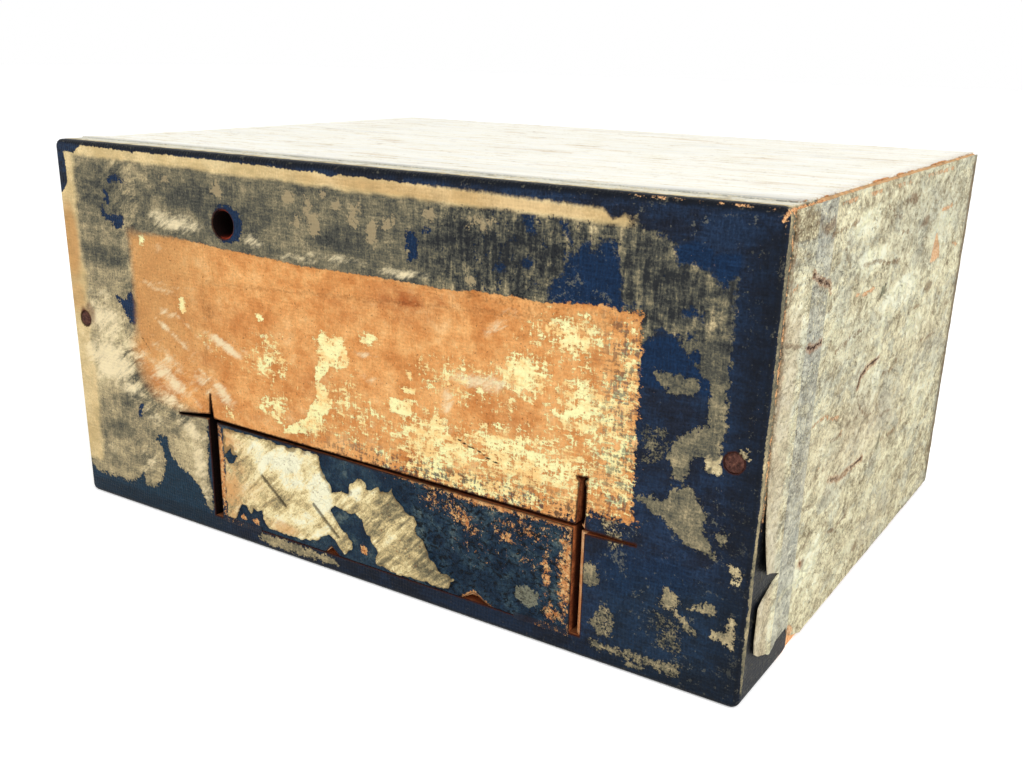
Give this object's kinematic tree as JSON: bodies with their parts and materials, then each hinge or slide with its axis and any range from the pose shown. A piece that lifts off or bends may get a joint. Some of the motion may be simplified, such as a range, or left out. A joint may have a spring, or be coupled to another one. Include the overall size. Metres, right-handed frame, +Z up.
{
  "type": "collection box",
  "caption": "Small wooden collection box covered in worn blue cloth and paper, with a round hole and a sawn flap low on the front that hangs on its cloth.",
  "frame": {"origin": "centre of the base, on the surface that the box stands on", "axes": "+X to the right along the front, -Y out of the front, +Z up"},
  "size_m": [0.2449, 0.185, 0.1205],
  "materials": {
    "stained_wood": "bare softwood, darkened with age",
    "plain_wood": "bare softwood, worn at the edges",
    "rusty_iron": "rusted, matt",
    "blue_cloth": "glazed book cloth, worn and stained",
    "side_paper": "crackled, flaking cover paper",
    "top_paper": "pale, worn cover paper",
    "label_paper": "torn label paper and glue"
  },
  "bodies": {
    "case": {"bottom_board": "stained_wood", "left_board": "plain_wood", "right_board": "plain_wood", "back_board": "stained_wood", "front_board": "stained_wood", "top_board": "plain_wood", "flap_stop": "stained_wood", "front_nails": "rusty_iron", "back_nails": "rusty_iron", "top_pins": "rusty_iron", "bottom_pins": "rusty_iron", "front_cloth": "blue_cloth", "hinge_cloth": "blue_cloth", "right_paper": "side_paper", "left_paper": "side_paper", "back_paper": "side_paper", "top_paper": "top_paper", "bottom_paper": "side_paper", "front_label": "label_paper"},
    "flap": {"flap_board": "stained_wood", "flap_cloth": "blue_cloth", "flap_label": "label_paper"}
  },
  "joints": [
    {"name": "flap_hinge", "type": "hinge", "parent": "case", "child": "flap", "pos_m": [0.0095, -0.0923, 0.0059], "axis": [1, 0, 0], "range_deg": [0, 96], "deforming": ["hinge_cloth"]}
  ]
}
